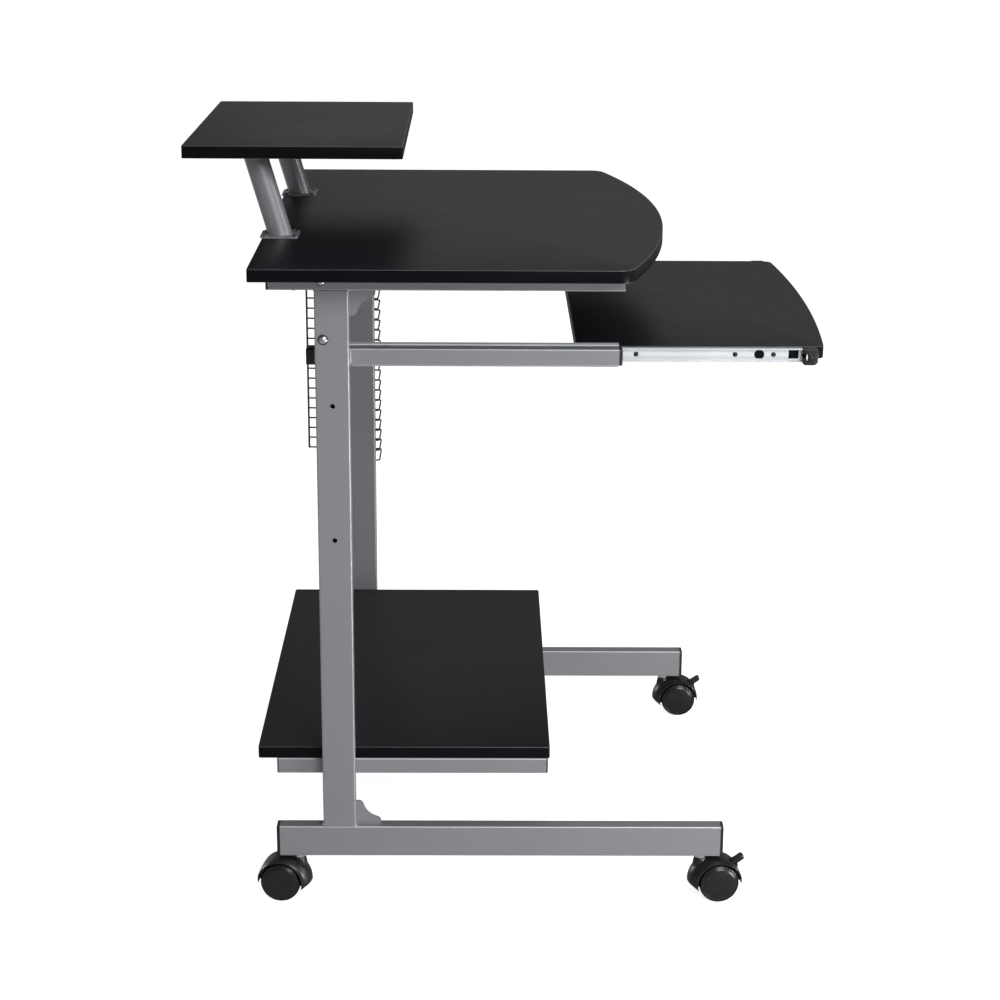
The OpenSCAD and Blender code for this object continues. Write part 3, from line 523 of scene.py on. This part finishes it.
def end_stop(low, high, outer_way):
    """A stop, its side view carried across the slide's depth, and a crescent of painted highlight on its
    outer face.
    """
    half_depth = (high[0] - low[0]) / 2
    points, faces = slab(stop_outline(), -half_depth, half_depth, stop_rim_r)
    middle = (low + high) / 2
    placed = np.stack([middle[0] + points[:, 2], middle[1] + points[:, 0], middle[2] + points[:, 1]], 1)
    crescent_y = middle[1] + crescent_shift
    rise = np.linspace(-crescent_half, crescent_half, 15)
    bulge = crescent_bulge * (1 - (rise / crescent_half) ** 2)
    face_x = high[0] if outer_way > 0 else low[0]
    lens = np.concatenate([
        np.stack([crescent_y - 0.0004 - 0.2 * bulge, middle[2] + rise], 1),
        np.stack([crescent_y - 0.0002 + 0.8 * bulge, middle[2] + rise], 1)[::-1][1:-1],
    ])
    rings = [np.c_[np.full(len(lens), face_x + outer_way * d), lens] for d in (-0.0010, 0.0, 0.00012)]
    return (placed, faces), join_rings(np.array(rings))


stops, crescent_highlights = [], []
for way in (-1.0, 1.0):
    low, high = (np.array(corner, float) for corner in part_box("tray_end_stops"))
    if way < 0:
        high[0] = low[0] + stop_depth
    else:
        low[0] = high[0] - stop_depth
    stop, crescent_highlight = end_stop(low, high, way)
    stops.append(stop)
    crescent_highlights.append(crescent_highlight)
stop_piece = outward(make_piece("end_stop_mouldings", stops, [black_plastic], crease_deg=50.0))
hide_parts("tray_end_stops")
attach(stop_piece, "tray")
# The crescent is a zinc-coloured painted highlight on each stop's black face.
crescent_highlight_piece = outward(make_piece("end_stop_crescent_highlights", crescent_highlights, [zinc]))
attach(crescent_highlight_piece, "tray")

# ---- Disc rack ----
# Bent and spot-welded steel wire on a flat strip, dipped in dark grey paint.
# The solids are used as they are; only their paint is made here.

rack_paint = finish_material("dark_grey_wire_paint", (0.055, 0.055, 0.058), (0.085, 0.085, 0.090),
                             (0.32, 0.42), metallic=0.3, fine=800.0, coarse=60.0, bump=0.1)
for node in [name for name in frame["nodes"] if name.startswith("rack_") and name != "rack_screws"]:
    frame["nodes"][node].data.materials[0] = rack_paint

# ---- Casters ----
# Twin-wheel furniture casters: a moulded nylon hood with a central web, two moulded wheels on a
# steel axle and, at the front, a brake lever whose steel pin crosses the hood. Each turns on a stem.

tread = finish_material("caster_wheel", (0.0050, 0.0050, 0.0054), (0.0085, 0.0085, 0.0090), (0.22, 0.32),
                        fine=700.0, coarse=60.0, bump=0.06)
axle_height, trail_m = 0.025, 0.0224
hood_half, web_half, slot_half = 0.0185, 0.0070, 0.0053
pocket_r, rim_outer_r, hub_r, slot_floor_r = 0.0273, 0.0292, 0.0055, 0.0205
crown_r, crown_shift = 0.0328, 0.0050
fin_deg, slot_deg, stem_fin_deg = 0.0, (28.0, 61.5), 197.0
brake_pivot = (0.021, 0.0195)
lever_deg, lever_half, lever_lift, lever_thick, lever_reach = 32.0, 0.0049, 0.0033, 0.0070, 0.0159
joints = {joint["name"]: joint for joint in frame["joints"]}


def caster_place(corner):
    """A caster's origin, and rows for across its axle, behind along its trail, and up."""
    stem = np.array(joints[corner + "_swivel"]["pos_m"], float)
    across = np.array(joints[corner + "_outer_roll"]["axis"], float)
    return np.array([stem[0], stem[1], 0.0]), np.array([across, [-across[1], across[0], 0.0], [0, 0, 1.0]])


def crown_height(turn):
    """Distance from the axle to the hood's middle line, a circle shifted towards the stem, at a turn."""
    shift = crown_shift * np.cos(turn)
    return -shift + np.sqrt(shift ** 2 - crown_shift ** 2 + crown_r ** 2)


def hood_run(start, end, low_u, high_u, inner, tips=(False, False), steps=44):
    """Part of a hood from angle start to end: the outer face domes, the inner outline is given.

    The outer face lies at rim + (crown - rim) * (1 - |u / half| ** 2.4), and thins to the pocket's
    radius at a tip.
    """
    turn = np.radians(np.linspace(start, end, steps))
    across = np.linspace(low_u, high_u, 21)
    dome = 1 - np.abs(across / hood_half) ** 2.4
    rise = np.maximum(crown_height(turn) - rim_outer_r, 0.0006)
    outer = rim_outer_r + rise[:, None] * dome[None, :]
    outer[:, np.abs(across) > hood_half - 1e-6] -= 0.0006
    from_tip = np.full(steps, 90.0)
    if tips[0]:
        from_tip = np.minimum(from_tip, np.degrees(turn) - start)
    if tips[1]:
        from_tip = np.minimum(from_tip, end - np.degrees(turn))
    full = np.clip(from_tip / 16.0, 0, 1) ** 0.7
    thin_r = pocket_r + 0.0003
    outer = thin_r + (outer - thin_r) * full[:, None]
    inner = np.array(inner)
    ring_u = np.r_[across, inner[:, 0]]
    ring_r = np.concatenate([outer, np.broadcast_to(inner[:, 1], (steps, len(inner)))], 1)
    points = np.stack([
        np.broadcast_to(ring_u, ring_r.shape),
        trail_m + ring_r * np.cos(turn)[:, None],
        axle_height + ring_r * np.sin(turn)[:, None],
    ], -1)
    return join_rings(points)


def lathe(profile, count=72):
    """Turns (radius, offset) points about the offset axis; flat faces close the first and last ring."""
    profile = np.asarray(profile, float)
    turn = np.linspace(0, 2 * np.pi, count, endpoint=False)
    rings = np.stack([
        profile[:, :1] * np.cos(turn), profile[:, :1] * np.sin(turn),
        np.broadcast_to(profile[:, 1:], (len(profile), count)),
    ], -1)
    return join_rings(rings)


def about_axle(shell, side=1.0):
    """Lays a lathed shell along a caster's axle, its offset pointing to side."""
    points, faces = shell
    return np.stack([side * points[:, 2], trail_m + points[:, 0], axle_height + points[:, 1]], 1), faces


def full_outline(low_u, high_u):
    """Inner outline of a full hood run, from its high side to its low side: pocket, web, pocket."""
    return [(high_u, pocket_r), (web_half, pocket_r), (web_half, hub_r),
            (-web_half, hub_r), (-web_half, pocket_r), (low_u, pocket_r)]


boss_profile = [(0.0051, 0.0440), (0.0051, 0.0571), (0.0055, 0.0575), (0.0066, 0.0575), (0.0074, 0.0570),
                (0.0080, 0.0556), (0.0086, 0.0530), (0.0092, 0.0500), (0.0094, 0.0470), (0.0092, 0.0440)]


def open_ring(profile, count):
    """A lathed ring round a bore: the last profile point joins the first instead of two flat ends."""
    points, faces = lathe(profile, count)
    faces = [face for face in faces if len(face) == 4]
    last = (len(profile) - 1) * count
    bore = [[last + i, last + (i + 1) % count, (i + 1) % count, i] for i in range(count)]
    return points, faces + bore


def hood_shells(braked):
    """A hood: domed shell with fins, web and stem boss; a braked one is open where its lever swings."""
    whole = full_outline(-hood_half, hood_half)
    shells = []
    if braked:
        shells.append(hood_run(fin_deg, slot_deg[0], -hood_half, hood_half, whole, (True, False), 16))
        cheek = [(hood_half, pocket_r), (web_half, pocket_r), (web_half, hub_r), (slot_half, hub_r)]
        shells.append(hood_run(*slot_deg, slot_half, hood_half, cheek, steps=16))
        mirrored = [(-u, r) for u, r in cheek[::-1]]
        shells.append(hood_run(*slot_deg, -hood_half, -slot_half, mirrored, steps=16))
        turn = np.radians(np.linspace(*slot_deg, 16))
        block = np.array([(-slot_half, hub_r), (slot_half, hub_r), (slot_half, slot_floor_r),
                          (-slot_half, slot_floor_r)])
        points = np.stack([
            np.broadcast_to(block[:, 0], (16, 4)),
            trail_m + block[:, 1] * np.cos(turn)[:, None],
            axle_height + block[:, 1] * np.sin(turn)[:, None],
        ], -1)
        shells.append(join_rings(points))
        shells.append(hood_run(slot_deg[1], stem_fin_deg, -hood_half, hood_half, whole, (False, True)))
    else:
        shells.append(hood_run(fin_deg, stem_fin_deg, -hood_half, hood_half, whole, (True, True), 60))
    shells.append(open_ring(boss_profile, 48))
    hub = [(0.0031, -web_half + 0.0002), (0.0072, -web_half + 0.0002), (0.0074, -web_half + 0.0006),
           (0.0074, web_half - 0.0006), (0.0072, web_half - 0.0002), (0.0031, web_half - 0.0002)]
    shells.append(about_axle(open_ring(hub, 40)))
    return shells


wheel_profile = [
    (0.0003, 0.0173), (0.0031, 0.0173), (0.0031, 0.0078), (0.0085, 0.0076), (0.0225, 0.0076),
    (0.0240, 0.0081), (0.0248, 0.0092), (0.0250, 0.0106), (0.0250, 0.0142), (0.0248, 0.0153),
    (0.0243, 0.0164), (0.0236, 0.0171), (0.0228, 0.0175), (0.0223, 0.0174), (0.0220, 0.0173),
    (0.0217, 0.0175), (0.0213, 0.0179), (0.0209, 0.0180), (0.0206, 0.01785), (0.0203, 0.0179),
    (0.0198, 0.0184), (0.0188, 0.0187), (0.0170, 0.0190), (0.0140, 0.01945), (0.0110, 0.0197),
    (0.0080, 0.01985), (0.0045, 0.01996), (0.0003, 0.0200),
]


def lever_shells():
    """A lever: hub turned on its pin, and a paddle lofted along its length, ribbed across its top."""
    hub = lathe([(0.0013, -lever_half), (0.0040, -lever_half), (0.0044, -lever_half + 0.0004),
                 (0.0044, lever_half - 0.0004), (0.0040, lever_half), (0.0013, lever_half)], 40)
    hub_points = np.stack([hub[0][:, 2], hub[0][:, 0], hub[0][:, 1]], 1)
    along = np.linspace(-0.0005, lever_reach, 90)
    rest = np.clip((lever_reach - along) / 0.0030, 0, 1)
    rounding = np.sqrt(np.clip(1 - (1 - rest) ** 2, 0.02, 1))
    half_thick = lever_thick / 2 * rounding
    rib_start, rib_end, rib_fade = 0.0045, lever_reach - 0.0018, 0.001
    rib_height, rib_pitch = 0.00028, 0.00145
    ribbed = np.clip((along - rib_start) / rib_fade, 0, 1) * np.clip((rib_end - along) / rib_fade, 0, 1)
    rib = rib_height * ribbed * np.cos(2 * np.pi * along / rib_pitch)
    shape = square_outline((-1.0, -1.0), (1.0, 1.0), 0.28)
    half_wide = lever_half * (0.55 + 0.45 * rounding)
    across = shape[None, :, 0] * half_wide[:, None]
    rise = shape[None, :, 1] * half_thick[:, None]
    rise = rise + np.where(shape[None, :, 1] > 0.9, rib[:, None], 0.0)
    curl = 0.0006 * (along / lever_reach) ** 2
    paddle = np.stack([across, np.broadcast_to(along[:, None], across.shape),
                       lever_lift + curl[:, None] + rise], -1)
    tilt = math.radians(lever_deg)
    flat, faces = join_rings(paddle)
    turned = np.stack([flat[:, 0], flat[:, 1] * math.cos(tilt) - flat[:, 2] * math.sin(tilt),
                       flat[:, 1] * math.sin(tilt) + flat[:, 2] * math.cos(tilt)], 1)
    return [(hub_points, hub[1]), (turned, faces)]


def caster_piece(name, corner, shells, material, slot_name, body, *replaced):
    """Turns a caster's shells to its own heading at its stem and hands them to their body."""
    origin, rows = caster_place(corner)
    placed = [(origin + points @ rows, faces) for points, faces in shells]
    piece = outward(make_piece(name, placed, [material], crease_deg=40.0))
    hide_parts(*replaced)
    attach(piece, body)


for corner in ("rear_left", "rear_right", "front_left", "front_right"):
    braked = corner.startswith("front")
    caster_piece(corner + "_caster_hood", corner, hood_shells(braked), black_plastic, "black_plastic",
                 corner + "_caster", corner + "_hood")
    frame["nodes"][corner + "_axle"].data.materials[0] = bright_steel
    outer_side = -1.0 if (caster_place(corner)[1][0, 0] > 0) == corner.endswith("left") else 1.0
    for place, side in (("outer", outer_side), ("inner", -outer_side)):
        caster_piece(f"{corner}_{place}_caster_wheel", corner, [about_axle(lathe(wheel_profile), side)],
                     tread, "black_plastic", f"{corner}_{place}", f"{corner}_{place}_wheel")

pin_r, pin_half, pin_chamfer = 0.00115, 0.0184, 0.0002
pin = lathe([(0.0003, -pin_half), (pin_r - pin_chamfer, -pin_half), (pin_r, -pin_half + pin_chamfer),
             (pin_r, pin_half - pin_chamfer), (pin_r - pin_chamfer, pin_half), (0.0003, pin_half)], 24)
pin_points = np.stack([pin[0][:, 2], pin[0][:, 0], pin[0][:, 1]], 1)
for corner in ("front_left", "front_right"):
    shift = np.array([0.0, trail_m + brake_pivot[0], axle_height + brake_pivot[1]])
    lever_body = corner + "_lever"
    lever = [(points + shift, faces) for points, faces in lever_shells()]
    caster_piece(corner + "_lever_moulding", corner, lever, black_plastic, "black_plastic", lever_body,
                 corner + "_brake_lever")
    caster_piece(corner + "_lever_pin", corner, [(pin_points + shift, pin[1])], bright_steel,
                 "bright_steel", lever_body)

# ---- Studio ----
# A pale floor that rises far away into a white surround, seen bright but lighting the desk only a
# little. Soft boxes stand on the sitter's left, in front, above and on the right.

floor_material = bpy.data.materials.new("studio_floor")
floor_material.use_nodes = True
floor_nodes, floor_links = floor_material.node_tree.nodes, floor_material.node_tree.links
floor_shader = floor_nodes["Principled BSDF"]
floor_shader.inputs["Roughness"].default_value = 0.9
floor_shader.inputs["Emission Color"].default_value = (1, 1, 1, 1)
seen = floor_nodes.new("ShaderNodeLightPath")
floor_tone = floor_nodes.new("ShaderNodeMix")
floor_tone.data_type = "RGBA"
floor_tone.inputs["A"].default_value = (0.45, 0.45, 0.45, 1)
floor_tone.inputs["B"].default_value = (0.93, 0.93, 0.93, 1)
floor_glow = floor_nodes.new("ShaderNodeMapRange")
floor_glow.inputs["To Min"].default_value = 0.08
floor_glow.inputs["To Max"].default_value = 0.84
floor_links.new(seen.outputs["Is Camera Ray"], floor_tone.inputs["Factor"])
floor_links.new(seen.outputs["Is Camera Ray"], floor_glow.inputs["Value"])
floor_links.new(floor_tone.outputs["Result"], floor_shader.inputs["Base Color"])
floor_links.new(floor_glow.outputs["Result"], floor_shader.inputs["Emission Strength"])
# radius and height of the surround, from its rim down to the floor
sweep = [(60.0, 40.0), (60.0, 12.0), (59.0, 6.0), (56.5, 2.0), (52.0, 0.0)]
turn = np.linspace(0, 2 * np.pi, 64, endpoint=False)
sweep_rings = np.array([np.c_[r * np.cos(turn), r * np.sin(turn), np.full(64, z)] for r, z in sweep])
sweep_points, sweep_faces = join_rings(sweep_rings)
del sweep_faces[-2]
floor = make_piece("studio_floor", [(sweep_points, sweep_faces)], [floor_material])

world = bpy.data.worlds.new("studio")
world.use_nodes = True
world.node_tree.nodes["Background"].inputs["Color"].default_value = (0.94, 0.96, 1.0, 1)
world.node_tree.nodes["Background"].inputs["Strength"].default_value = 0.20
bpy.context.scene.world = world


def softbox(name, place, target, size, watts):
    """A rectangular area light at place, size wide and high, that looks at target."""
    light = bpy.data.lights.new(name, "AREA")
    light.shape = "RECTANGLE"
    light.size, light.size_y = size
    light.energy = watts
    box = bpy.data.objects.new(name, light)
    box.location = place
    aim = np.asarray(target, float) - np.asarray(place, float)
    box.rotation_euler = Vector(aim).to_track_quat("-Z", "Y").to_euler()
    bpy.context.scene.collection.objects.link(box)


softbox("key_softbox", (-3.2, -1.4, 2.5), (0, 0, 0.5), (1.5, 1.5), 104)
softbox("low_softbox", (-1.0, -1.3, 0.15), (-0.3, -0.3, 0.0), (0.6, 0.2), 13)
softbox("side_softbox", (-0.6, -4.0, 1.6), (0, 0, 0.7), (0.5, 1.6), 26)
softbox("top_softbox", (-0.3, -0.4, 3.2), (0, 0, 0.4), (1.2, 3.0), 8)
softbox("back_softbox", (5.0, -0.6, 2.8), (0, 0, 0.8), (3.4, 1.2), 5)
softbox("far_softbox", (2.8, 3.2, 0.6), (0, 0, 0.5), (1.2, 0.8), 26)

lens_mm, sensor_mm = 81.04, 36.0
yaw, pitch, roll = -0.0093, 0.298, 0.0059
camera_place = (-2.8744, 0.03315, 1.30975)


def camera_axes(yaw, pitch, roll):
    """Right, up and forward of a camera along +X, turned by yaw, tipped down by pitch, then rolled."""
    level = np.array([math.cos(yaw), math.sin(yaw), 0.0])
    right = np.array([math.sin(yaw), -math.cos(yaw), 0.0])
    up = np.array([0.0, 0.0, 1.0])
    forward = level * math.cos(pitch) - up * math.sin(pitch)
    tipped = up * math.cos(pitch) + level * math.sin(pitch)
    turned_right = right * math.cos(roll) + tipped * math.sin(roll)
    return turned_right, tipped * math.cos(roll) - right * math.sin(roll), forward


camera_data = bpy.data.cameras.new("camera")
camera_data.lens = lens_mm
camera_data.sensor_width = sensor_mm
camera_data.clip_end = 200.0
camera = bpy.data.objects.new("camera", camera_data)
right_axis, up_axis, forward_axis = camera_axes(yaw, pitch, roll)
pose = np.eye(4)
pose[:3, 0], pose[:3, 1], pose[:3, 2], pose[:3, 3] = right_axis, up_axis, -forward_axis, camera_place
camera.matrix_world = Matrix(pose.tolist())
bpy.context.scene.collection.objects.link(camera)
bpy.context.scene.camera = camera
bpy.context.scene.view_settings.view_transform = "Standard"
